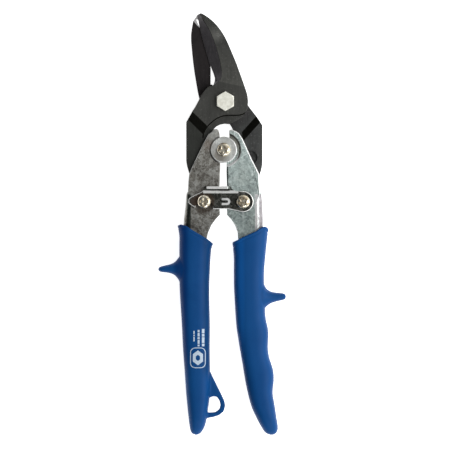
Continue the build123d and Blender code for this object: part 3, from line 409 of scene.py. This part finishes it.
def rebuilt(node, name, rules, angle=28.0, keep=40.0, second=None, pick_faces=None, clamp=True):
    """the CAD node's shape with its edges rounded. rules: (offset mm, segments, test on the edge's middle in mm)"""
    bm = bmesh.new()
    bm.from_mesh(NODES[node].data)
    bmesh.ops.remove_doubles(bm, verts=bm.verts, dist=2e-6)
    bmesh.ops.dissolve_limit(bm, angle_limit=math.radians(0.6), verts=bm.verts, edges=bm.edges)
    for off, segs, test, *more in rules:
        rim = more[:1]
        least = more[1] if len(more) > 1 else angle
        bm.edges.ensure_lookup_table()
        pick = []
        for e in bm.edges:
            if len(e.link_faces) != 2:
                continue
            if e.calc_face_angle(0.0) < math.radians(least):
                continue
            mid = (e.verts[0].co + e.verts[1].co) / 2 / MM
            if test is None or test(mid, e):
                pick.append(e)
        if pick:
            bmesh.ops.bevel(bm, geom=pick, offset=off * MM, offset_type="OFFSET", segments=segs, profile=0.5,
                            affect="EDGES", clamp_overlap=clamp, material=rim[0] if rim else -1, loop_slide=True, miter_outer="ARC", miter_inner="SHARP")
            bmesh.ops.remove_doubles(bm, verts=bm.verts, dist=1e-6)
    bm.normal_update()
    if pick_faces:
        for f in bm.faces:
            k = pick_faces(f.calc_center_median() / MM, f.normal)
            if k:
                f.material_index = int(k)
    me = bpy.data.meshes.new(name)
    for m in [material_for(node)] + [MATS[k] for k in (second or ())]:
        me.materials.append(m)
    bm.to_mesh(me)
    bm.free()
    smooth(me, keep)
    o = link_new(name, me)
    w = o.modifiers.new("w", "WEIGHTED_NORMAL")
    w.keep_sharp = True
    bake(o)
    finish_piece(o, node)
    return o


def finish_piece(o, node):
    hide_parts(node)
    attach(o, BODY[node])


# ------------------------------------------------------------------ metal pieces
def outer(z):
    return lambda p, e: abs(p.z - 9.0) > z


def web_bend(side):
    """outside bends of a handle channel, where its two plates turn into the web"""
    def test(p, e):
        d = (e.verts[1].co - e.verts[0].co).normalized()
        if abs(p.z - 9.0) < 4.6 or not -45.0 < p.y < 17.5 or abs(d.y) < 0.8:
            return False
        return p.x < -19.0 if side < 0 else p.x > 22.0
    return test


def is_step(c, n, direction):
    """the sloping face between a jaw's blade and its tail"""
    k = max(1e-6, math.hypot(n.x, n.y))
    return 0.7 < n.z < 0.97 and 45 < c.y < 76 and abs(n.x * direction[0] + n.y * direction[1]) / k > 0.985


def front_faces(c, n):
    if is_step(c, n, (-0.691, -0.723)):
        return 1
    return 2 if 0.2 < n.z < 0.985 and c.y > 83 and n.x < -0.1 and c.z > 9.5 else 0


def rear_faces(c, n):
    if is_step(c, n, (0.743, -0.669)):
        return 1
    return 0


# top edges of the latch that are rounded and given the painted highlight material
def long_side(p, e):
    if abs(p.x - 2.31) < 4.3 and abs(p.y - 13.37) < 3.5:
        return False
    if p.x < -11.2:
        return p.z > 15.9 and (p.y > 17.0 or p.x < -16.5)
    return p.z > 15.9 and p.x > -5.5 and p.y < 20.0 and e.calc_length() > 0.05 * MM


def rim(side):
    """outside edges of a handle plate, away from the slit, the arch and the hub, rounded and given a painted highlight
    """
    def test(p, e):
        if abs(p.z - 9.0) < 4.6 or math.hypot(p.x - C[0], p.y - C[1]) < 11.4:
            return False
        return (p.x > 5.0 and p.y > -4.0) if side > 0 else (p.x < -3.0 and p.y > 17.0)
    return test


UNDER = [(13.16, 65.18), (9.19, 64.17), (4.98, 64.17), (1.01, 63.82), (-2.37, 62.63), (-5.81, 60.2), (-8.54, 57.47), (-10.37, 54.27), (-11.26, 50.78)]


def under_edge(p, e):
    """the front jaw's edge over the hub, above its ledge"""
    return p.z > 11.35 and rim_distance(np.array([(p.x, p.y)]), UNDER)[0] < 0.7


def ridge(p, e):
    """the line where the blade's bevel starts"""
    return p.z > 11.0 and 86 < p.y < 122 and e.calc_face_angle(0.0) < math.radians(62) and abs((e.verts[1].co - e.verts[0].co).normalized().y) > 0.6


def rim_distance(xy, line):
    """distance in mm from points to a polyline"""
    best = np.full(len(xy), 1e9)
    for (x0, y0), (x1, y1) in zip(line, line[1:]):
        a, d = np.array((x0, y0)), np.array((x1 - x0, y1 - y0))
        u = np.clip(((xy - a) @ d) / (d @ d), 0, 1)
        best = np.minimum(best, np.linalg.norm(xy - (a + u[:, None] * d), axis=1))
    return best


# the front jaw's edge over the hub and its bevel's ridge line are rounded with the near-black material, as painted
# shadow lines
rebuilt("front_jaw", "front_jaw_blade", [(0.75, 3, under_edge, 1), (0.20, 2, ridge, 1, 7.0), (0.22, 2, lambda p, e: not under_edge(p, e))], angle=24,
        second=("oxide_painted_shade", "oxide_bevel"), pick_faces=front_faces, clamp=False)
rebuilt("rear_jaw", "rear_jaw_blade", [(0.22, 2, None)], angle=24, second=("oxide_painted_shade", "ground_steel"), pick_faces=rear_faces)
rebuilt("left_handle_frame", "left_channel", [(3.3, 7, web_bend(-1)), (0.50, 3, rim(-1), 1), (0.35, 2, lambda p, e: outer(4.6)(p, e) and not rim(-1)(p, e))], angle=40, second=("rim_dim_highlight",), clamp=False)
rebuilt("right_handle_frame", "right_channel", [(3.6, 7, web_bend(1)), (0.60, 3, rim(1), 1), (0.35, 2, lambda p, e: outer(4.6)(p, e) and not rim(1)(p, e))], angle=40, second=("rim_highlight",), clamp=False)
rebuilt("latch", "latch_strip", [(0.42, 2, long_side, 1)], angle=40, second=("rim_highlight",), clamp=False)
for n in ("jaw_bolt", "jaw_washer", "handle_pivot_screw", "handle_pivot_nut", "catch_screw", "catch_nut",
          "latch_pivot_screw", "latch_pivot_nut", "latch_spacer"):
    rebuilt(n, n + "_detail", [(0.18, 2, None)], angle=30)
rebuilt("jaw_nut", "jaw_nut_detail", [(0.18, 2, lambda p, e: p.z > 0.5)], angle=30)
for n in ("jaw_bushing", "handle_pivot_sleeve", "catch_sleeve", "latch_pivot_sleeve"):
    o = NODES[n]
    o.data.materials.clear()
    o.data.materials.append(material_for(n))


# ------------------------------------------------------------------ grips
def dense(rows, step):
    """smooth curve through the rows, sampled about every step mm of the first column"""
    a = np.array(rows, float)
    if a[0, 0] > a[-1, 0]:
        a = a[::-1]
    t = a[:, 0]
    s = np.gradient(a[:, 1:], t, axis=0)
    q = np.linspace(t[0], t[-1], max(2, int(abs(t[-1] - t[0]) / step) + 1))
    k = np.clip(np.searchsorted(t, q) - 1, 0, len(t) - 2)
    h = (t[k + 1] - t[k])[:, None]
    u = ((q - t[k])[:, None]) / h
    v = ((2 * u**3 - 3 * u**2 + 1) * a[k, 1:] + (u**3 - 2 * u**2 + u) * h * s[k]
         + (-2 * u**3 + 3 * u**2) * a[k + 1, 1:] + (u**3 - u**2) * h * s[k + 1])
    return np.column_stack([q, v])


def loft(rows, along, power, step=0.8, n=64):
    """closed body through (t, low, high, half thickness) rows, rounded like a superellipse. along: 'x' or 'y'"""
    d = dense(rows, step)
    th = np.linspace(0, 2 * math.pi, n, endpoint=False)
    c, s = np.cos(th), np.sin(th)
    cu = np.sign(c) * np.abs(c) ** (2 / power)
    su = np.sign(s) * np.abs(s) ** (2 / power)
    bm = bmesh.new()
    rings = []
    for t, lo, hi, hz in d:
        mid, half = (lo + hi) / 2, max(0.3, abs(hi - lo) / 2)
        ring = []
        for a, b in zip(cu, su):
            w, z = mid + half * a, 9.0 + hz * b
            p = (w, t, z) if along == "y" else (t, w, z)
            ring.append(bm.verts.new(Vector(p) * MM))
        rings.append(ring)
    for r0, r1 in zip(rings, rings[1:]):
        for i in range(n):
            bm.faces.new((r0[i], r0[(i + 1) % n], r1[(i + 1) % n], r1[i]))
    bm.faces.new(rings[0])
    bm.faces.new(rings[-1])
    bmesh.ops.recalc_face_normals(bm, faces=bm.faces)
    return bm


def prism(points, z0, z1):
    bm = bmesh.new()
    lo = [bm.verts.new(Vector((x, y, z0)) * MM) for x, y in points]
    f = bm.faces.new(lo)
    g = bmesh.ops.extrude_face_region(bm, geom=[f])
    bmesh.ops.translate(bm, vec=(0, 0, (z1 - z0) * MM), verts=[v for v in g["geom"] if isinstance(v, bmesh.types.BMVert)])
    bmesh.ops.recalc_face_normals(bm, faces=bm.faces)
    return bm


def to_object(bm, name):
    me = bpy.data.meshes.new(name)
    bm.to_mesh(me)
    bm.free()
    return link_new(name, me)


def cut(o, cutter):
    m = o.modifiers.new("cut", "BOOLEAN")
    m.operation = "DIFFERENCE"
    m.solver = "EXACT"
    m.object = cutter
    bake(o)
    bpy.data.objects.remove(cutter, do_unlink=True)
    return o


def joined(objs):
    bm = bmesh.new()
    for o in objs:
        bm.from_mesh(o.data)
    first = objs[0]
    bm.to_mesh(first.data)
    bm.free()
    for o in objs[1:]:
        bpy.data.objects.remove(o, do_unlink=True)
    return first


def grip(node, name, rows, horn, rim, extra=None):
    """moulded grip: body, guard horn and eye run together, with a fine bead round its mouth"""
    body = cut(to_object(loft(rows, "y", 2.9), name), to_object(prism(rim, -4, 24), "rim_cutter"))
    parts = [body, to_object(loft(horn, "x", 2.3, 0.5, 48), "horn")]
    if extra:
        parts.append(extra)
    o = joined(parts)
    m = o.modifiers.new("remesh", "REMESH")
    m.mode = "VOXEL"
    m.voxel_size = 0.40 * MM
    m = o.modifiers.new("smooth", "SMOOTH")
    m.factor = 0.5
    m.iterations = 7
    bake(o)
    me = o.data
    co = np.empty(len(me.vertices) * 3)
    me.vertices.foreach_get("co", co)
    nr = np.empty(len(me.vertices) * 3)
    me.vertices.foreach_get("normal", nr)
    co, nr = co.reshape(-1, 3), nr.reshape(-1, 3)
    d = rim_distance(co[:, :2] / MM, rim[1:-1])
    co -= nr * (0.22 * np.exp(-((d - 1.75) / 0.42) ** 2) * MM)[:, None]
    lo, hi = np.array(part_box(node)[0]), np.array(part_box(node)[1])
    co = np.clip(co, lo, hi)
    me.vertices.foreach_set("co", co.ravel())
    me.update()
    smooth(me, 70)
    me.materials.clear()
    me.materials.append(MATS["vinyl"])
    finish_piece(o, node)
    return o


LG = [(2.46, -26.38, -4.8), (-1.99, -26.32, -4.92), (-4.36, -25.73, -5.1), (-6.73, -25.43, -5.22), (-12.06, -25.43, -5.39),
      (-14.44, -25.43, -6.28), (-16.81, -25.43, -6.58), (-21.55, -25.37, -6.94), (-26.29, -25.37, -7.17), (-35.78, -25.31, -7.53),
      (-45.26, -24.84, -7.53), (-59.49, -23.95, -7.23), (-73.72, -23.24, -7.29), (-87.95, -22.23, -7.17), (-95.06, -21.76, -7.23),
      (-102.18, -21.22, -7.47), (-106.92, -20.75, -7.94), (-111.66, -20.28, -8.6), (-116.4, -19.74, -9.31), (-118.78, -19.45, -9.9),
      (-121.15, -19.09, -10.79), (-122.63, -18.73, -11.68), (-123.81, -18.14, -12.63), (-124.59, -17.25, -13.46), (-125.0, -16.07, -14.52)]
RG = [(2.46, 5.51, 28.04), (-2.58, 5.51, 27.74), (-4.95, 5.63, 27.27), (-9.69, 5.87, 26.68), (-14.44, 6.46, 26.2), (-19.18, 6.88, 25.73),
      (-28.66, 6.94, 24.96), (-38.15, 7.05, 25.02), (-47.63, 7.59, 25.55), (-52.38, 7.83, 25.61), (-57.12, 8.18, 26.14),
      (-61.86, 8.6, 27.21), (-65.42, 9.13, 27.51), (-68.98, 9.72, 27.39), (-72.53, 10.26, 27.21), (-76.09, 10.91, 27.45),
      (-79.65, 11.5, 28.16), (-83.2, 12.15, 29.35), (-86.76, 12.69, 30.35), (-90.32, 13.28, 30.71), (-93.88, 13.87, 30.65),
      (-97.43, 14.64, 30.18), (-100.99, 15.41, 30.12), (-104.55, 16.3, 30.71), (-109.29, 17.79, 31.48), (-114.03, 19.98, 32.19),
      (-118.78, 22.41, 32.96), (-121.15, 23.77, 33.14), (-122.93, 24.96, 32.78), (-124.11, 26.14, 32.07), (-124.76, 27.45, 31.12),
      (-125.06, 28.52, 30.18)]
LHORN = [(-19.0, -14.5, -41.0, 8.2), (-21.4, -16.51, -37.85, 7.7), (-24.37, -18.29, -35.78, 6.9), (-25.79, -19.71, -33.23, 6.1),
         (-27.74, -22.08, -30.74, 5.2), (-30.89, -23.74, -29.14, 4.5), (-33.85, -24.45, -28.66, 4.1), (-36.22, -25.05, -28.37, 3.6),
         (-37.47, -25.64, -27.89, 2.8), (-37.94, -26.35, -27.18, 1.5)]
RHORN = [(19.0, -30.5, -55.5, 8.2), (21.28, -32.52, -52.67, 7.7), (24.54, -34.89, -50.9, 7.0), (26.03, -37.79, -49.24, 6.2),
         (28.4, -39.69, -47.34, 5.2), (31.72, -40.52, -46.09, 4.5), (34.92, -40.88, -45.32, 4.1), (36.7, -41.17, -44.85, 3.6),
         (37.7, -42.0, -44.02, 2.8), (37.94, -42.65, -43.31, 1.5)]
LG_RIM = [(-30.89, 5.42), (-30.89, -0.74), (-25.97, -0.74), (-24.60, -0.03), (-20.99, -1.16), (-19.15, -2.52), (-9.19, -8.45),
          (-5.75, -11.18), (-3.62, -12.36), (-0.06, -12.36), (-0.06, 5.42)]
RG_RIM = [(1.72, 5.42), (1.72, -12.95), (5.28, -12.66), (6.34, -10.64), (9.66, -9.16), (12.98, -7.32), (20.51, -4.00), (21.94, -2.76),
          (25.08, -1.27), (26.74, -1.93), (27.80, -3.35), (34.33, -3.35), (34.33, 5.42)]
LG_EYE = [(-11.32, -86.47), (-7.53, -86.47), (-5.69, -90.44), (-3.38, -95.12), (-0.41, -101.17), (1.36, -105.02), (1.84, -107.81),
          (0.95, -111.07), (-1.84, -113.38), (-5.34, -114.45), (-8.95, -115.04), (-11.32, -114.33)]
LG_HOLE = [(-6.94, -102.71), (-5.28, -102.12), (-3.14, -102.35), (-1.60, -104.61), (-0.95, -107.45), (-1.72, -109.94),
           (-3.97, -111.60), (-7.71, -111.90), (-9.4, -111.9), (-9.2, -102.71)]
END = {-116.4: 8.7, -118.78: 8.0, -121.15: 7.0, -122.63: 6.0, -123.81: 4.9, -124.59: 3.9, -125.0: 2.8,
       -114.03: 8.9, -122.93: 5.8, -124.11: 4.6, -124.76: 3.6, -125.06: 2.8}


def with_height(rows):
    return [(y, a, b, END.get(y, 8.97) if y > -121.0 or y in END else 7.0) for y, a, b in rows]


eye = cut(to_object(prism(LG_EYE, 5.8, 12.2), "eye"), to_object(prism(LG_HOLE, 0, 20), "eye_cutter"))
left_grip = grip("left_grip", "left_grip_moulding", with_height(LG), LHORN, LG_RIM, eye)
right_grip = grip("right_grip", "right_grip_moulding", with_height(RG), RHORN, RG_RIM)

# ------------------------------------------------------------------ plain print on the left grip
TREE = BVHTree.FromPolygons([v.co.copy() for v in left_grip.data.vertices], [tuple(p.vertices) for p in left_grip.data.polygons])


def laid(p):
    """a point of the print, in mm, laid on the grip's front"""
    hit, nrm, _, _ = TREE.ray_cast(Vector((p[0], p[1], 30)) * MM, Vector((0, 0, -1)))
    return hit + nrm * 0.035 * MM


def rounded_box(cx, cy, w, h, r, n=8):
    pts = []
    for qx, qy, a0 in ((1, 1, 0), (-1, 1, 90), (-1, -1, 180), (1, -1, 270)):
        for i in range(n + 1):
            a = math.radians(a0 + 90 * i / n)
            pts.append((cx + qx * (w / 2 - r) + r * math.cos(a), cy + qy * (h / 2 - r) + r * math.sin(a)))
    out = []
    for p, q in zip(pts, pts[1:] + pts[:1]):
        k = 8 if math.dist(p, q) > 1.2 else 1
        out += [(p[0] + (q[0] - p[0]) * i / k, p[1] + (q[1] - p[1]) * i / k) for i in range(k)]
    return out


def add_band(bm, a, b, rings=1):
    """a closed band of faces from outline a to outline b, or a filled shape where b is one point"""
    prev = [bm.verts.new(laid(p)) for p in a]
    for k in range(1, rings + 1):
        u = k / rings
        cur = [bm.verts.new(laid((p[0] + (q[0] - p[0]) * u, p[1] + (q[1] - p[1]) * u))) for p, q in zip(a, b)]
        for i in range(len(a)):
            j = (i + 1) % len(a)
            bm.faces.new((prev[i], prev[j], cur[j], cur[i]))
        prev = cur


bm = bmesh.new()
BX, BY, BW, BH = -14.3, -79.1, 9.2, 12.2
add_band(bm, rounded_box(BX, BY, BW, BH, 3.0), rounded_box(BX, BY, BW - 0.95, BH - 0.95, 2.525))
hexa = []
for i in range(6):
    a0, a1 = math.radians(60 * i + 30), math.radians(60 * i + 90)
    for k in range(4):
        u = k / 4
        hexa.append((BX + 3.45 * (math.cos(a0) * (1 - u) + math.cos(a1) * u), BY + 4.4 * (math.sin(a0) * (1 - u) + math.sin(a1) * u)))
inner = [(BX + (x - BX) * 0.42, BY + (y - BY) * 0.42) for x, y in hexa]
add_band(bm, hexa, inner, 4)
for x, w, y0, lens in ((-11.2, 1.5, -62.0, (2.6, 1.5, 3.4, 1.5)), (-13.9, 1.15, -62.6, (1.3, 2.1, 1.2, 2.4, 1.0)), (-16.6, 0.8, -63.2, (1.8, 0.9, 2.6))):
    y = y0
    for ln in lens:
        k = max(1, int(ln / 0.7))
        rows = [[bm.verts.new(laid((x - w / 2 + w * c / 2, y - ln * r / k))) for c in range(3)] for r in range(k + 1)]
        for r0, r1 in zip(rows, rows[1:]):
            for c in range(2):
                bm.faces.new((r0[c], r1[c], r1[c + 1], r0[c + 1]))
        y -= ln + 0.42
bmesh.ops.remove_doubles(bm, verts=bm.verts, dist=1e-7)
bmesh.ops.recalc_face_normals(bm, faces=bm.faces)
for f in bm.faces:
    if f.normal.z < 0:
        f.normal_flip()
mark = to_object(bm, "left_grip_print")
smooth(mark.data, 60)
mark.data.materials.append(MATS["ink"])
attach(mark, "left_handle")


# ------------------------------------------------------------------ opening spring
def tube(path, radius, name, n=14):
    """round wire along a path given in mm"""
    pts = [Vector(p) * MM for p in path]
    bm = bmesh.new()
    t = (pts[1] - pts[0]).normalized()
    u = t.orthogonal().normalized()
    rings = []
    for i, p in enumerate(pts):
        d = (pts[min(i + 1, len(pts) - 1)] - pts[max(i - 1, 0)]).normalized()
        u = (u - d * u.dot(d)).normalized()
        v = d.cross(u)
        rings.append([bm.verts.new(p + (u * math.cos(a) + v * math.sin(a)) * radius * MM) for a in (2 * math.pi * k / n for k in range(n))])
    for r0, r1 in zip(rings, rings[1:]):
        for i in range(n):
            bm.faces.new((r0[i], r0[(i + 1) % n], r1[(i + 1) % n], r1[i]))
    bm.faces.new(rings[0])
    bm.faces.new(rings[-1])
    bmesh.ops.recalc_face_normals(bm, faces=bm.faces)
    o = to_object(bm, name)
    smooth(o.data, 50)
    o.data.materials.append(MATS["spring_steel"])
    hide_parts("opening_spring")
    return o


def leg(side, z):
    x = C[0] + side * 4.9
    pts = [(x, C[1] + 0.2 - (C[1] + 0.2 - 26.0) * i / 12, 9 + z) for i in range(13)]
    pts += [(x, 26.0 - math.sin(a), 9 + z - (1 - math.cos(a))) for a in (math.radians(15 * k) for k in range(1, 7))]
    pts += [(x, 25.0, 9 + z - 1 - k * (3.5 + z) / 4) for k in range(1, 5)]
    return pts


coil = [(C[0] + 4.9 * math.cos(a), C[1] + 4.9 * math.sin(a), 9 - 0.7 + 1.4 * i / 150)
        for i, a in enumerate(math.radians(-35 + 575 * i / 150 + 0.0) for i in range(151))]
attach(tube(coil, 0.45, "spring_coil"), "left_handle")
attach(tube(leg(-1, 0.7), 0.45, "spring_leg_left"), "left_handle")
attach(tube(leg(1, -0.7), 0.45, "spring_leg_right"), "right_handle")

# ------------------------------------------------------------------ floor, light, camera
bpy.ops.mesh.primitive_plane_add(size=3.0, location=(0, 0, 0))
floor = bpy.context.object
floor.name = "floor"
fm = Mat("floor_paper")
fm.set(Base_Color=(0.93, 0.93, 0.93), Roughness=0.9, Emission_Color=(1, 1, 1), Emission_Strength=0.88)
floor.data.materials.append(fm.m)

# studio walls: dim overhead and on the left, pale to the right and all round near the horizon
w = bpy.data.worlds.new("studio")
scene.world = w
w.use_nodes = True
wt = w.node_tree
bg = wt.nodes["Background"]
tc = wt.nodes.new("ShaderNodeTexCoord")
sep = wt.nodes.new("ShaderNodeSeparateXYZ")
wt.links.new(tc.outputs["Generated"], sep.inputs[0])


def wramp(sock, stops):
    n = wt.nodes.new("ShaderNodeMapRange")
    n.inputs[1].default_value = -1
    n.inputs[2].default_value = 1
    n.inputs[3].default_value = 0
    n.inputs[4].default_value = 1
    wt.links.new(sock, n.inputs[0])
    r = wt.nodes.new("ShaderNodeValToRGB")
    e = r.color_ramp.elements
    while len(e) < len(stops):
        e.new(0.5)
    for i, (p, c) in enumerate(stops):
        e[i].position = (p + 1) / 2
        e[i].color = (c, c, c, 1)
    wt.links.new(n.outputs[0], r.inputs["Fac"])
    return r.outputs["Color"]


def wmath(op, a, b):
    n = wt.nodes.new("ShaderNodeMath")
    n.operation = op
    for s, v in zip(n.inputs, (a, b)):
        if isinstance(v, (int, float)):
            s.default_value = v
        else:
            wt.links.new(v, s)
    return n.outputs[0]


elev = wramp(sep.outputs[2], [(-1, 0.6), (0.0, 0.72), (0.45, 0.62), (0.8, 0.40), (1.0, 0.30)])
side = wramp(sep.outputs[0], [(-1, 0.12), (-0.35, 0.14), (0.0, 0.50), (0.35, 0.85), (1.0, 1.0)])
horizon = wramp(sep.outputs[2], [(-0.1, 1.0), (0.05, 0.55), (0.20, 0.0), (1.0, 0.0)])
body = wmath("MULTIPLY", elev, side)
level = wmath("MAXIMUM", wmath("MULTIPLY", body, 2.0), horizon)
comb = wt.nodes.new("ShaderNodeCombineColor")
for i, k in enumerate((0.985, 1.0, 1.0)):
    wt.links.new(wmath("MULTIPLY", level, k), comb.inputs[i])
wt.links.new(comb.outputs[0], bg.inputs[0])
bg.inputs[1].default_value = 1.0


def area(name, loc, target, size, power, sy=None):
    ld = bpy.data.lights.new(name, "AREA")
    ld.energy = power
    ld.size = size
    if sy:
        ld.shape = "RECTANGLE"
        ld.size_y = sy
    o = bpy.data.objects.new(name, ld)
    o.location = loc
    d = Vector(target) - Vector(loc)
    o.rotation_euler = d.to_track_quat("-Z", "Y").to_euler()
    scene.collection.objects.link(o)
    return o


area("key_right", (0.70, 0.05, 0.85), (0, 0, 0), 0.50, 5.4, 0.9)
area("low_front", (0.30, -0.80, 0.80), (0, 0, 0), 0.45, 2.6, 0.3)

cam = bpy.data.cameras.new("camera")
camo = bpy.data.objects.new("camera", cam)
scene.collection.objects.link(camo)
DIST = 2.5
camo.location = (0.00231, -0.0011, DIST + 0.013)
camo.rotation_euler = (0, 0, 0)
cam.sensor_width = 36.0
cam.lens = 36.0 * DIST / (452 * 250 / 421.7 * MM)
cam.clip_end = 20
scene.camera = camo
scene.view_settings.view_transform = "Standard"
